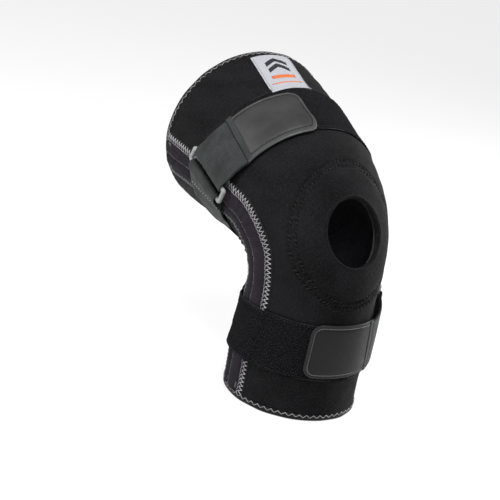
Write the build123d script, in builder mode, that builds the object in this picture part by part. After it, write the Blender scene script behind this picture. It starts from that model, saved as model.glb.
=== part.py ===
"""Open-patella knee brace: a bent neoprene sleeve with four flat spiral stays, a kneecap
pad, and two webbing straps that pull through moulded rings and close with hook tabs.

The sleeve is drawn along a centreline: straight up the calf, an arc through the knee,
then straight along the thigh. A place on it is (s, theta, d): s is the length along the
centreline from the calf hem, theta is the angle round the leg from the front (positive
towards the inner side, +X), and d is the height above the sleeve's outer face.
All sizes are millimetres, and +Z points up the calf.
"""

from build123d import *
import os
from math import ceil, cos, degrees, pi, radians, sin

os.makedirs("parts", exist_ok=True)

# ---- driving dimensions -------------------------------------------------------------
CALF_STRAIGHT = 105.0
BEND_RADIUS = 66.5
REST_FLEXION = 79.0
THIGH_STRAIGHT = 107.3
FABRIC = 4.0

CUFF_RADIUS_CALF = 57.5
CUFF_RADIUS_THIGH = 79.0
CALF_CUFF_LENGTH = 36.0
THIGH_CUFF_LENGTH = 16.0
HEM_WIDTH = 5.5
HEM_RISE = 0.7

CALF_FRONT_TOP = 112.0
CALF_BACK_TOP = 92.0
THIGH_BOTTOM = 187.0
BODY_GAP = 0.5

OPENING_CENTRE = 138.0
OPENING_WIDTH = 50.0
OPENING_HEIGHT = 59.0
OPENING_BINDING = 2.0
PAD_WIDTH = 96.0
PAD_HEIGHT = 118.0
PAD_THICKNESS = 4.0
PAD_GAP = 0.2

STRIP_WIDTH = 34.0
STRIP_BOTTOM = 0.3
STRIP_TOP = 2.6
STAY_WIDTH = 8.0
STAY_BOTTOM = 0.4
STAY_TOP = 1.8
POCKET_WIDTH = 9.8
POCKET_TOP = 2.1
FRONT_POCKET = 9.0
REAR_POCKET = 25.0
STAY_START = 14.0
STAY_END = 289.0
CAP_LENGTH = 5.0
CAP_WIDTH = 9.0

BAND_BOTTOM = 0.3
BAND_TOP = 1.5
HOOK_BOTTOM = 1.8
HOOK_TOP = 2.65
TAB_BOTTOM = 2.8
TAB_TOP = 4.6
TAB_CORNER = 10.0
WEBBING = 1.2

RING_INNER_LENGTH = 51.0
RING_BAR = 3.6
RING_EDGE = 1.4
RING_CORNER = 3.0
BAR_SPACING = 12.0
RING_HEIGHT = 7.3
LOOP_INNER = 2.35
LOOP_LENGTH = 48.0
RAMP_ANGLE = 20.0
SEAM_GAP = 0.6

# ---- the sleeve's shape -------------------------------------------------------------
BEND_LENGTH = BEND_RADIUS * radians(REST_FLEXION)
BEND_END = CALF_STRAIGHT + BEND_LENGTH
LENGTH = BEND_END + THIGH_STRAIGHT
KNEE = CALF_STRAIGHT + BEND_LENGTH / 2
THIGH_CUFF_START = LENGTH - THIGH_CUFF_LENGTH

# Half-sizes of the outer face along the centreline: (s, half-width, front, back).
PROFILE = [
    (0.0, CUFF_RADIUS_CALF, CUFF_RADIUS_CALF, CUFF_RADIUS_CALF),
    (CALF_CUFF_LENGTH, CUFF_RADIUS_CALF, CUFF_RADIUS_CALF, CUFF_RADIUS_CALF),
    (65.0, 57.0, 58.5, 54.0),
    (CALF_STRAIGHT, 55.5, 58.5, 53.0),
    (KNEE, 64.5, 63.2, 61.0),
    (BEND_END, 69.0, 68.5, 63.0),
    (229.0, 73.5, 74.0, 67.5),
    (THIGH_CUFF_START, CUFF_RADIUS_THIGH, CUFF_RADIUS_THIGH, CUFF_RADIUS_THIGH),
    (LENGTH, CUFF_RADIUS_THIGH, CUFF_RADIUS_THIGH, CUFF_RADIUS_THIGH),
]

# Angle of the outer side seam along the centreline; the inner side mirrors it.
SEAM = [
    (0.0, 79.0), (40.0, 79.0), (86.0, 72.5), (105.0, 74.0), (130.0, 73.0), (185.0, 87.5),
    (304.0, 96.0),
]

SAMPLE_ANGLE = 4.0

# Lengths at which sections are drawn, close together through the bend.
STATIONS = [0.0, 18.0, 36.0, 50.0, 65.0, 80.0, 92.0, 105.0]
STATIONS += [CALF_STRAIGHT + BEND_LENGTH * step / 12 for step in range(1, 13)]
STATIONS += [213.0, 229.0, 245.0, 260.0, 275.0, THIGH_CUFF_START, LENGTH]


def between(table, s, column=1):
    """Read a column of a table at s, in straight lines between its rows."""
    if s <= table[0][0]:
        return table[0][column]
    for low, high in zip(table, table[1:]):
        if s <= high[0]:
            share = (s - low[0]) / (high[0] - low[0])
            return low[column] + share * (high[column] - low[column])
    return table[-1][column]


def turned(s):
    """Angle that the centreline has turned through at s, in radians."""
    return min(max((s - CALF_STRAIGHT) / BEND_RADIUS, 0.0), radians(REST_FLEXION))


def centre(s):
    """Point of the centreline at s."""
    turn = turned(s)
    past = max(s - BEND_END, 0.0)
    back = BEND_RADIUS * (1 - cos(turn)) + past * sin(turn)
    up = min(s, CALF_STRAIGHT) + BEND_RADIUS * sin(turn) + past * cos(turn)
    return Vector(0, back, up)


def along(s):
    """Direction of the centreline at s, towards the thigh hem."""
    return Vector(0, sin(turned(s)), cos(turned(s)))


def local_point(s, theta, d):
    """A place on the sleeve in the section plane's own x and y (y points to the back)."""
    angle = radians(theta)
    depth = between(PROFILE, s, 2 if cos(angle) > 0 else 3)
    return ((between(PROFILE, s, 1) + d) * sin(angle), -(depth + d) * cos(angle))


def section_plane(s):
    """Plane across the sleeve at s, with x to the inner side of the leg."""
    return Plane(origin=centre(s), x_dir=(1, 0, 0), z_dir=along(s))


def place(s, theta, d):
    """A place on the sleeve as a point in space."""
    return section_plane(s).from_local_coords(Vector(*local_point(s, theta, d)))


def spread(length, s):
    """Angle in degrees that a length round the leg covers at s."""
    return degrees(length / between(PROFILE, s, 1))


def ring_spread(length, s):
    """Angle in degrees that a length round the leg covers at the height of a ring."""
    return degrees(length / (between(PROFILE, s, 1) + RING_HEIGHT))


def seam(s):
    """Angle of the side seam at s, as a positive number."""
    return between(SEAM, s)


def strip_lift(s, theta):
    """Height that a band rises by where it crosses a stay strip."""
    edge = min(abs(theta) % 360, 360 - abs(theta) % 360)
    middle = seam(s) + spread(STRIP_WIDTH / 2, s)
    outside = abs(edge - middle) - spread(STRIP_WIDTH / 2 + 1.5, s)
    fade = min(max(outside / 9.0, 0.0), 1.0)
    return STRIP_TOP * (1 + cos(pi * fade)) / 2


def stations(start, end):
    """Section places from start to end."""
    inside = [s for s in STATIONS if start + 1.5 < s < end - 1.5]
    return [start] + inside + [end]


def value(quantity, *at):
    """A number as it is, or a function read at the given place."""
    return quantity(*at) if callable(quantity) else quantity


def section(s, first, last, inner, outer):
    """Closed face across a layer at s, from one angle to another.

    The angles are numbers or functions of s, and the heights are numbers or functions
    of s and theta."""
    start = value(first, s)
    end = value(last, s)
    steps = max(3, ceil(abs(end - start) / SAMPLE_ANGLE))
    angles = [start + (end - start) * step / steps for step in range(steps + 1)]
    with BuildSketch(section_plane(s), mode=Mode.PRIVATE) as face:
        with BuildLine():
            outside = Spline(*[local_point(s, a, value(outer, s, a)) for a in angles])
            inside = Spline(*[local_point(s, a, value(inner, s, a)) for a in angles])
            Line(outside @ 0, inside @ 0)
            Line(outside @ 1, inside @ 1)
        make_face()
    return face.sketch


def layer(start, end, first, last, inner, outer, mode=Mode.ADD):
    """Loft a layer of the sleeve through the sections from start to end."""
    for s in stations(start, end):
        add(section(s, first, last, inner, outer))
    loft(ruled=True, mode=mode)


def front_plane(s):
    """Plane on the front face at s, with x to the inner side and z outwards."""
    return Plane(origin=place(s, 0, 0), x_dir=(1, 0, 0), z_dir=place(s, 0, 1) - place(s, 0, 0))


def save(part, name):
    part.part.label = name
    export_step(part.part, f"parts/{name}.step")


def outer_seam(s):
    return -seam(s)


def inner_seam(s):
    return seam(s)


def back_outer_seam(s):
    return 360 - seam(s)


# ---- sleeve panels ------------------------------------------------------------------
def sleeve_panel(name, start, end, first, last):
    with BuildPart() as panel:
        layer(start, end, first, last, -FABRIC, 0)
    save(panel, name)


def knee_front_panel():
    """Front panel over the knee, with the oval hole for the kneecap."""
    with BuildPart() as panel:
        layer(CALF_FRONT_TOP, THIGH_BOTTOM - BODY_GAP, outer_seam, inner_seam, -FABRIC, 0)
        with BuildSketch(front_plane(OPENING_CENTRE)):
            Ellipse(OPENING_WIDTH / 2 + OPENING_BINDING, OPENING_HEIGHT / 2 + OPENING_BINDING)
        extrude(amount=45, both=True, mode=Mode.SUBTRACT)
    save(panel, "knee_front_panel")


def opening_binding():
    """Rolled edge round the kneecap hole."""
    with BuildPart() as binding:
        layer(CALF_FRONT_TOP + 3, THIGH_BOTTOM - 13, -34, 34, -FABRIC - 0.1, 0.4)
        with BuildSketch(front_plane(OPENING_CENTRE)):
            Ellipse(OPENING_WIDTH / 2 + OPENING_BINDING, OPENING_HEIGHT / 2 + OPENING_BINDING)
            Ellipse(OPENING_WIDTH / 2, OPENING_HEIGHT / 2, mode=Mode.SUBTRACT)
        extrude(amount=45, both=True, mode=Mode.INTERSECT)
    save(binding, "opening_binding")


def kneecap_pad():
    """Oval foam ring sewn behind the front panel, round the kneecap hole."""
    top = -FABRIC - PAD_GAP
    with BuildPart() as pad:
        layer(102, 176, -56, 56, top - PAD_THICKNESS, top)
        with BuildSketch(front_plane(OPENING_CENTRE)):
            Ellipse(PAD_WIDTH / 2, PAD_HEIGHT / 2)
            Ellipse(OPENING_WIDTH / 2 + 3, OPENING_HEIGHT / 2 + 3, mode=Mode.SUBTRACT)
        extrude(amount=45, both=True, mode=Mode.INTERSECT)
    save(pad, "kneecap_pad")


def hem_binding(name, plane, radius):
    """Folded tape round an open end of the sleeve."""
    with BuildPart() as hem:
        with BuildSketch(plane):
            Circle(radius + HEM_RISE)
            Circle(radius - FABRIC, mode=Mode.SUBTRACT)
        extrude(amount=HEM_WIDTH)
        rims = hem.edges().filter_by(GeomType.CIRCLE).sort_by(SortBy.RADIUS)[-2:]
        fillet(rims, HEM_RISE / 2)
    save(hem, name)


# ---- stays and the strips that hold them ---------------------------------------------
def strip_angle(side, distance):
    """Angle, as a function of s, at a distance behind the side seam on one side."""
    return lambda s: side * (seam(s) + spread(distance, s))


def stay_strip(name, side):
    """Fabric strip sewn along the side, with a pocket for each of its two stays."""
    with BuildPart() as strip:
        layer(
            HEM_WIDTH + 0.3,
            LENGTH - HEM_WIDTH - 0.3,
            strip_angle(side, 0),
            strip_angle(side, STRIP_WIDTH),
            STRIP_BOTTOM,
            STRIP_TOP,
        )
        for pocket in (FRONT_POCKET, REAR_POCKET):
            layer(
                STAY_START - CAP_LENGTH - 0.5,
                STAY_END + CAP_LENGTH + 0.5,
                strip_angle(side, pocket - POCKET_WIDTH / 2),
                strip_angle(side, pocket + POCKET_WIDTH / 2),
                STRIP_BOTTOM - 0.1,
                POCKET_TOP,
                mode=Mode.SUBTRACT,
            )
    save(strip, name)


def spiral_stay(name, side, pocket):
    """Flat spiral-steel stay, as the solid strip that its coils fill."""
    with BuildPart() as stay:
        layer(
            STAY_START,
            STAY_END,
            strip_angle(side, pocket - STAY_WIDTH / 2),
            strip_angle(side, pocket + STAY_WIDTH / 2),
            STAY_BOTTOM,
            STAY_TOP,
        )
    save(stay, name)


def stay_caps(name, start):
    """Crimped caps on the four stay ends at one hem."""
    with BuildPart() as caps:
        for side in (-1, 1):
            for pocket in (FRONT_POCKET, REAR_POCKET):
                layer(
                    start,
                    start + CAP_LENGTH,
                    strip_angle(side, pocket - CAP_WIDTH / 2),
                    strip_angle(side, pocket + CAP_WIDTH / 2),
                    STAY_BOTTOM - 0.05,
                    STAY_TOP + 0.05,
                )
    save(caps, name)


# ---- straps ---------------------------------------------------------------------------
class Strap:
    """Where one strap's ring, webbing and tab lie.

    Side is +1 when the ring is on the inner side of the leg, and the angles are positive
    numbers on that side. The ring and the tab's seam each run from a low place (s, theta)
    to a high one."""

    def __init__(self, side, ring_low, ring_high, seam_low, seam_high, tab):
        self.side = side
        self.ring_low = ring_low
        self.ring_high = ring_high
        self.seam_low = seam_low
        self.seam_high = seam_high
        self.tab_low, self.tab_high, self.tab_tip = tab
        low = place(ring_low[0], side * ring_low[1], RING_HEIGHT)
        high = place(ring_high[0], side * ring_high[1], RING_HEIGHT)
        middle = (ring_low[0] + ring_high[0]) / 2
        angle = side * (ring_low[1] + ring_high[1]) / 2
        rise = place(middle, angle, 10) - place(middle, angle, 0)
        self.bar_axis = (high - low).normalized()
        self.outwards = (rise - self.bar_axis * rise.dot(self.bar_axis)).normalized()
        self.backwards = self.outwards.cross(self.bar_axis) * -side
        self.ring_centre = (low + high) * 0.5
        self.front_bar = self.ring_centre - self.backwards * (BAR_SPACING / 2)
        self.rear_bar = self.ring_centre + self.backwards * (BAR_SPACING / 2)
        turn = radians(ring_low[1] - ring_high[1]) * between(PROFILE, middle)
        self.lean = turn / (ring_high[0] - ring_low[0])

    def ring_angle(self, s, behind):
        """Angle at s of a line parallel to the ring's bars, so far behind its middle."""
        angle = between([self.ring_low, self.ring_high], s - behind * self.lean)
        return self.side * (angle + ring_spread(behind, s))

    def seam_angle(self, s, behind=0.0):
        angle = between([self.seam_low, self.seam_high], s)
        return self.side * (angle + spread(behind, s))

    def loop_plane(self, bar):
        return Plane(origin=bar, x_dir=self.outwards, z_dir=self.bar_axis)


UPPER = Strap(-1, (192.4, 96.3), (241.4, 87.3), (187.7, 64.0), (233.5, 57.5), (186.5, 232.0, 8.0))
LOWER = Strap(1, (54.4, 92.0), (103.4, 84.0), (43.0, 39.0), (91.0, 33.0), (43.0, 91.0, -28.0))
LOOP_REACH = BAR_SPACING / 2 + LOOP_INNER + WEBBING / 2


def ring(strap, name):
    """Moulded rectangular ring."""
    plane = Plane(origin=strap.ring_centre, x_dir=strap.bar_axis, z_dir=strap.outwards)
    length = RING_INNER_LENGTH + 2 * RING_BAR
    width = BAR_SPACING + RING_BAR
    with BuildPart() as loop:
        with BuildSketch(plane):
            RectangleRounded(length, width, RING_CORNER)
            Rectangle(RING_INNER_LENGTH, BAR_SPACING - RING_BAR, mode=Mode.SUBTRACT)
        extrude(amount=RING_BAR / 2, both=True)
        faces = loop.faces().filter_by(plane)
        fillet(faces.edges(), RING_EDGE)
    save(loop, name)


def loop_round(strap, bar):
    """Webbing folded round one bar of the ring."""
    with BuildSketch(strap.loop_plane(bar), mode=Mode.PRIVATE) as wall:
        Circle(LOOP_INNER + WEBBING)
        Circle(LOOP_INNER, mode=Mode.SUBTRACT)
    extrude(wall.sketch, amount=LOOP_LENGTH / 2, both=True)


def anchor_webbing(strap, name, low, high, end):
    """Webbing from the rear bar, round the back of the leg, sewn down at its end."""

    def first(s):
        return strap.ring_angle(s, LOOP_REACH)

    def middle(s, theta):
        flat = (BAND_BOTTOM + BAND_TOP) / 2 + strip_lift(s, theta)
        share = min(abs(theta - first(s)) / RAMP_ANGLE, 1.0)
        return flat + (RING_HEIGHT - flat) * (1 + cos(pi * share)) / 2

    with BuildPart() as webbing:
        layer(
            low,
            high,
            first,
            end,
            lambda s, theta: middle(s, theta) - WEBBING / 2,
            lambda s, theta: middle(s, theta) + WEBBING / 2,
        )
        loop_round(strap, strap.rear_bar)
    save(webbing, name)


def tab_webbing(strap, name, low, high):
    """Elastic webbing from the front bar to the seam of the tab."""
    tab_middle = (TAB_BOTTOM + TAB_TOP) / 2

    def first(s):
        return strap.ring_angle(s, -LOOP_REACH)

    def last(s):
        return strap.seam_angle(s, SEAM_GAP)

    def middle(s, theta):
        share = (theta - first(s)) / (last(s) - first(s))
        return RING_HEIGHT + (tab_middle - RING_HEIGHT) * share

    with BuildPart() as webbing:
        layer(
            low,
            high,
            first,
            last,
            lambda s, theta: middle(s, theta) - WEBBING,
            lambda s, theta: middle(s, theta) + WEBBING,
        )
        loop_round(strap, strap.front_bar)
    save(webbing, name)


def rounded_layer(strap, inset, inner, outer):
    """A layer of the tab, with its two free corners rounded."""
    low = strap.tab_low + inset
    high = strap.tab_high - inset
    middle = (low + high) / 2

    def tip(s):
        return strap.side * (strap.tab_tip + spread(inset, s))

    def root(s):
        return strap.seam_angle(s, -inset)

    turn = (root(middle) + tip(middle)) / 2
    outwards = place(middle, turn, 1) - place(middle, turn, 0)
    plane = Plane(origin=place(middle, turn, 0), x_dir=along(middle), z_dir=outwards)
    free_end = plane.to_local_coords(place(middle, tip(middle), 0)).Y
    reach = 80.0 if free_end > 0 else -80.0
    layer(low, high, root, tip, inner, outer)
    with BuildSketch(plane, mode=Mode.PRIVATE) as outline:
        with Locations((0, free_end - reach / 2)):
            Rectangle(high - low + 1.0, abs(reach))
        corners = outline.vertices().group_by(Axis.Y)[-1 if free_end > 0 else 0]
        fillet(corners, TAB_CORNER - inset)
    extrude(outline.sketch, amount=30, both=True, mode=Mode.INTERSECT)


def tab(strap, name):
    with BuildPart() as flap:
        rounded_layer(strap, 0, TAB_BOTTOM, TAB_TOP)
    save(flap, name)


def hook_patch(strap, name):
    with BuildPart() as hooks:
        rounded_layer(strap, 4, HOOK_BOTTOM, HOOK_TOP)
    save(hooks, name)


def pile_band(name, start, end, first, last):
    """Band of loop pile that the hook patch grips."""
    with BuildPart() as band:
        layer(
            start,
            end,
            first,
            last,
            lambda s, theta: BAND_BOTTOM + strip_lift(s, theta),
            lambda s, theta: BAND_TOP + strip_lift(s, theta),
        )
    save(band, name)


def label_patch():
    with BuildPart() as label:
        layer(239.0, LENGTH - HEM_WIDTH - 0.5, -20, 11, 0.05, 0.6)
    save(label, "label_patch")


# ---- build ------------------------------------------------------------------------------
if __name__ == "__main__":
    top = LENGTH - HEM_WIDTH
    sleeve_panel("calf_front_panel", HEM_WIDTH, CALF_FRONT_TOP, outer_seam, inner_seam)
    sleeve_panel("thigh_front_panel", THIGH_BOTTOM, top, outer_seam, inner_seam)
    sleeve_panel("calf_back_panel", HEM_WIDTH, CALF_BACK_TOP, inner_seam, back_outer_seam)
    sleeve_panel(
        "knee_back_panel",
        CALF_BACK_TOP,
        THIGH_BOTTOM - BODY_GAP,
        inner_seam,
        back_outer_seam,
    )
    sleeve_panel("thigh_back_panel", THIGH_BOTTOM, top, inner_seam, back_outer_seam)
    knee_front_panel()
    opening_binding()
    kneecap_pad()
    hem_binding("calf_hem_binding", section_plane(0), CUFF_RADIUS_CALF)
    hem_binding("thigh_hem_binding", section_plane(top), CUFF_RADIUS_THIGH)

    stay_strip("outer_stay_strip", -1)
    stay_strip("inner_stay_strip", 1)
    spiral_stay("outer_front_stay", -1, FRONT_POCKET)
    spiral_stay("outer_rear_stay", -1, REAR_POCKET)
    spiral_stay("inner_front_stay", 1, FRONT_POCKET)
    spiral_stay("inner_rear_stay", 1, REAR_POCKET)
    stay_caps("calf_stay_caps", STAY_START - CAP_LENGTH)
    stay_caps("thigh_stay_caps", STAY_END)

    pile_band("upper_pile_band", 187.5, 237.0, -66, 86)
    pile_band("lower_pile_band", 38.0, 87.0, -150, 42)
    anchor_webbing(UPPER, "upper_anchor_webbing", 200.0, 241.0, -264)
    anchor_webbing(LOWER, "lower_anchor_webbing", 49.0, 90.0, 209)
    ring(UPPER, "upper_ring")
    ring(LOWER, "lower_ring")
    tab_webbing(UPPER, "upper_tab_webbing", 190.0, 236.0)
    tab_webbing(LOWER, "lower_tab_webbing", 47.0, 94.0)
    tab(UPPER, "upper_tab")
    tab(LOWER, "lower_tab")
    hook_patch(UPPER, "upper_hook_patch")
    hook_patch(LOWER, "lower_hook_patch")
    label_patch()
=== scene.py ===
"""Knee brace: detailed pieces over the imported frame, in metres.

The sleeve's pieces are drawn at places (s, theta, d): s is the length along the leg's
centreline from the calf hem, theta is the angle round the leg from the front (positive
towards the inner side, +X), and d is the height above the sleeve's outer face. Places
are in millimetres and degrees, and place() turns them into metres.
"""

import math

import bpy
import numpy as np
from mathutils import Matrix, Vector


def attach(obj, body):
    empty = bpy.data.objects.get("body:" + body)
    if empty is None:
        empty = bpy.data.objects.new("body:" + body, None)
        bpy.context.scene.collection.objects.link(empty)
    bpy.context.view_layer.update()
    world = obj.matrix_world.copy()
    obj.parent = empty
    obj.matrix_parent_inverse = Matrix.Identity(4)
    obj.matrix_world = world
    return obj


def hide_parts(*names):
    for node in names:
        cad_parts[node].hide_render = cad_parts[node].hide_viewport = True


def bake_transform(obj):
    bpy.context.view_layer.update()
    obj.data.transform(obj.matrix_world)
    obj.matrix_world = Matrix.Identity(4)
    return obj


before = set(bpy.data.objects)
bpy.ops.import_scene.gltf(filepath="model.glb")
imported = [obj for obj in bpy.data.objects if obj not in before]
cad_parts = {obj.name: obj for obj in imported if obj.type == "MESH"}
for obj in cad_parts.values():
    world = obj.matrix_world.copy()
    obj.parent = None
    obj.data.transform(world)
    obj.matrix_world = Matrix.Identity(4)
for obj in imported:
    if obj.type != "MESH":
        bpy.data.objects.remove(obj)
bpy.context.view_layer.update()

# ---- the sleeve, as the CAD model has it (mm, degrees) --------------------------------
CALF_STRAIGHT = 105.0
BEND_RADIUS = 66.5
REST_FLEXION = 79.0
THIGH_STRAIGHT = 107.3
FABRIC = 4.0
HEM_WIDTH = 5.5
HEM_RISE = 0.7
HEM_FADE = 8.0
OPENING_CENTRE = 138.0
OPENING = (25.0, 28.6)
PAD = (48.0, 59.0)
PAD_THICKNESS = 4.0
STRIP_WIDTH = 34.0
STRIP_TOP = 2.6
RING_HEIGHT = 7.3
BAR_SPACING = 12.0
LOOP_RADIUS = 2.95
WEBBING = 1.2

BEND_LENGTH = BEND_RADIUS * math.radians(REST_FLEXION)
BEND_END = CALF_STRAIGHT + BEND_LENGTH
LENGTH = BEND_END + THIGH_STRAIGHT
KNEE = CALF_STRAIGHT + BEND_LENGTH / 2

# Half-sizes of the outer face along the centreline: s, half-width, front, back.
PROFILE = np.array([
    (0.0, 57.5, 57.5, 57.5),
    (36.0, 57.5, 57.5, 57.5),
    (65.0, 57.0, 58.5, 54.0),
    (CALF_STRAIGHT, 55.5, 58.5, 53.0),
    (KNEE, 64.5, 63.2, 61.0),
    (BEND_END, 69.0, 68.5, 63.0),
    (229.0, 73.5, 74.0, 67.5),
    (LENGTH - 16.0, 79.0, 79.0, 79.0),
    (LENGTH, 79.0, 79.0, 79.0),
])
# Angle of the side seams along the centreline.
SEAM = np.array([
    (0.0, 79.0), (40.0, 79.0), (86.0, 72.5), (105.0, 74.0), (130.0, 73.0), (185.0, 87.5),
    (304.0, 96.0),
])
# Distance behind the seam of the stitched line between a strip's two pockets.
STAY_LINE = np.array([
    (12.0, 19.5), (40.0, 19.5), (95.0, 18.0), (150.0, 20.0), (180.0, 20.0), (256.0, 15.5),
    (279.0, 17.0), (303.0, 16.5),
])


def table(rows, s, column=1):
    return np.interp(s, rows[:, 0], rows[:, column])


def profile(s, column):
    """A half-size at s, with the table's corners rounded."""
    s = np.asarray(s, float)
    reach = (-9.0, -6.0, -3.0, 0.0, 3.0, 6.0, 9.0)
    weights = (1.0, 3.0, 5.0, 6.0, 5.0, 3.0, 1.0)
    total = sum(w * table(PROFILE, s + r, column) for r, w in zip(reach, weights))
    return total / sum(weights)


def step(low, high, x):
    """0 below low, 1 above high, and smooth between."""
    t = np.clip((x - low) / (high - low), 0.0, 1.0)
    return t * t * (3 - 2 * t)


def bare(s, theta, d):
    """Millimetre point at a place on the smooth sleeve."""
    s, theta, d = np.broadcast_arrays(*(np.asarray(v, float) for v in (s, theta, d)))
    turn = np.clip((s - CALF_STRAIGHT) / BEND_RADIUS, 0.0, math.radians(REST_FLEXION))
    past = np.maximum(s - BEND_END, 0.0)
    angle = np.radians(theta)
    depth = np.where(np.cos(angle) > 0, profile(s, 2), profile(s, 3))
    x = (profile(s, 1) + d) * np.sin(angle)
    front = (depth + d) * np.cos(angle)
    y = BEND_RADIUS * (1 - np.cos(turn)) + past * np.sin(turn) - front * np.cos(turn)
    z = np.minimum(s, CALF_STRAIGHT) + BEND_RADIUS * np.sin(turn) + past * np.cos(turn)
    return np.stack([x, y, z + front * np.sin(turn)], axis=-1)


FRONT_ORIGIN = bare(OPENING_CENTRE, 0, 0)
FRONT_TURN = (OPENING_CENTRE - CALF_STRAIGHT) / BEND_RADIUS
FRONT_UP = np.array([0.0, math.sin(FRONT_TURN), math.cos(FRONT_TURN)])


def front_xy(s, theta):
    """Across and up, seen square on to the kneecap."""
    point = bare(s, theta, 0)
    return point[..., 0], (point - FRONT_ORIGIN) @ FRONT_UP


def front_place(x, y):
    """The place (s, theta) that front_xy sees at x, y."""
    x, y = np.broadcast_arrays(np.asarray(x, float), np.asarray(y, float))
    s = OPENING_CENTRE + y / 2
    for _ in range(25):
        theta = np.degrees(np.arcsin(np.clip(x / profile(s, 1), -0.99, 0.99)))
        s = s + 0.6 * (y - front_xy(s, theta)[1]) / 1.9
    return s, theta


def waves(u, v, size, seed, count=9):
    """Soft seeded unevenness between about -1 and 1, with features about size across."""
    rng = np.random.default_rng(seed)
    total = 0.0
    for _ in range(count):
        heading, phase = rng.uniform(0, 2 * math.pi, 2)
        pitch = size * rng.uniform(0.7, 1.6)
        along = u * math.cos(heading) + v * math.sin(heading)
        total = total + np.sin(2 * math.pi * along / pitch + phase)
    return total / math.sqrt(count)


def round_leg(s, theta):
    """Lengths round and along the leg's surface at a place, for textures and spacing."""
    angle = np.radians(theta)
    depth = np.where(np.cos(angle) > 0, profile(s, 2), profile(s, 3))
    turn = np.clip((s - CALF_STRAIGHT) / BEND_RADIUS, 0.0, math.radians(REST_FLEXION))
    around = angle * (profile(s, 1) + depth) / 2
    return around, s + turn * depth * np.cos(angle)


BAND_EDGES = (36.0, 89.0, 185.0, 239.5)
PAD_ROWS = (1.035, 0.955)
PAD_STITCHES = 78


def skin(s, theta):
    """Height of the worn sleeve over the smooth one: pad, folds and squeezed edges."""
    s, theta = np.broadcast_arrays(np.asarray(s, float), np.asarray(theta, float))
    x, y = front_xy(s, theta)
    facing = np.cos(np.radians(theta))
    oval = np.hypot(x / PAD[0], y / PAD[1])
    on_front = step(0.1, 0.35, facing)
    pad = 1.5 * (1 - step(0.84, 1.03, oval)) + 0.7 * np.exp(-(((oval - 0.76) / 0.13) ** 2))
    dimples = 0.65 + 0.35 * np.cos(PAD_STITCHES * np.arctan2(x / PAD[0], y / PAD[1]))
    rows = sum(np.exp(-(((oval - row) / 0.026) ** 2)) for row in PAD_ROWS)
    groove = -2.1 * dimples * rows
    around, along = round_leg(s, theta)
    squeeze = sum(0.55 * np.exp(-(((s - edge) / 2.6) ** 2)) for edge in BAND_EDGES)
    behind = step(0.15, 0.8, -facing) * step(92, 118, s) * (1 - step(178, 200, s))
    fold = np.sin(2 * math.pi * (s + 3.0 * waves(around, along, 60, 3)) / 13.0)
    folds = behind * (1.1 * fold + 0.5 * waves(around, along, 16, 5))
    side = step(-0.5, 0.1, -np.abs(facing)) * step(105, 130, s) * (1 - step(165, 190, s))
    crease = 0.35 * side * np.sin(2 * math.pi * (s + 2.0 * waves(around, along, 40, 9)) / 9.0)
    uneven = 0.28 * waves(around, along, 55, 1) + 0.12 * waves(around, along, 17, 2)
    top_hem = LENGTH - HEM_WIDTH
    hem = step(HEM_WIDTH, HEM_WIDTH + HEM_FADE, s) * (1 - step(top_hem - HEM_FADE, top_hem, s))
    return on_front * (pad + groove) + hem * (squeeze + folds + crease + uneven)


def place(s, theta, d):
    """Point in metres at a place on the worn sleeve."""
    return bare(s, theta, d + skin(s, theta)) / 1000


def spread(length, s):
    return np.degrees(length / profile(s, 1))


def seam(s):
    return table(SEAM, s)


def strip_lift(s, theta):
    """Height that a band rises by where it crosses a stay strip."""
    edge = np.minimum(np.abs(theta) % 360, 360 - np.abs(theta) % 360)
    middle = seam(s) + spread(STRIP_WIDTH / 2, s)
    outside = np.abs(edge - middle) - spread(STRIP_WIDTH / 2 + 1.5, s)
    return STRIP_TOP * (1 + np.cos(np.pi * np.clip(outside / 9.0, 0, 1))) / 2


# ---- meshes ---------------------------------------------------------------------------
def steps_across(length, spacing, edge=0.0):
    """Distances from 0 to length, close together within edge of both ends."""
    inner = np.linspace(edge, length - edge, max(2, int(round((length - 2 * edge) / spacing)) + 1))
    if not edge:
        return inner
    near = edge * (1 - np.cos(np.linspace(0, math.pi / 2, 5)[:-1]))
    return np.concatenate([near, inner, length - near[::-1]])


def roundness(distance, length, edge):
    """Share of full thickness at a distance from the nearer of two rounded edges."""
    near = np.clip(np.minimum(distance, length - distance) / edge, 0.0, 1.0)
    return np.sqrt(np.maximum(1 - (1 - near) ** 2, 0.0))


def make(name, points, faces, uvs=None, materials=(), which=None):
    """Smooth-shaded mesh object."""
    mesh = bpy.data.meshes.new(name)
    mesh.from_pydata(points.tolist(), [], faces.tolist())
    mesh.update()
    if uvs is not None:
        corners = np.empty(len(mesh.loops), np.int32)
        mesh.loops.foreach_get("vertex_index", corners)
        layer = mesh.uv_layers.new(name="UVMap")
        layer.data.foreach_set("uv", np.ascontiguousarray(uvs[corners], np.float32).ravel())
    for material in materials:
        mesh.materials.append(material)
    if which is not None:
        mesh.polygons.foreach_set("material_index", which.astype(np.int32))
    mesh.polygons.foreach_set("use_smooth", np.ones(len(mesh.polygons), bool))
    piece = bpy.data.objects.new(name, mesh)
    bpy.context.scene.collection.objects.link(piece)
    return piece


def quads(index):
    """Quad faces over a grid of vertex numbers."""
    return np.stack(
        [index[:-1, :-1], index[:-1, 1:], index[1:, 1:], index[1:, :-1]], axis=-1
    ).reshape(-1, 4)


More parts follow.
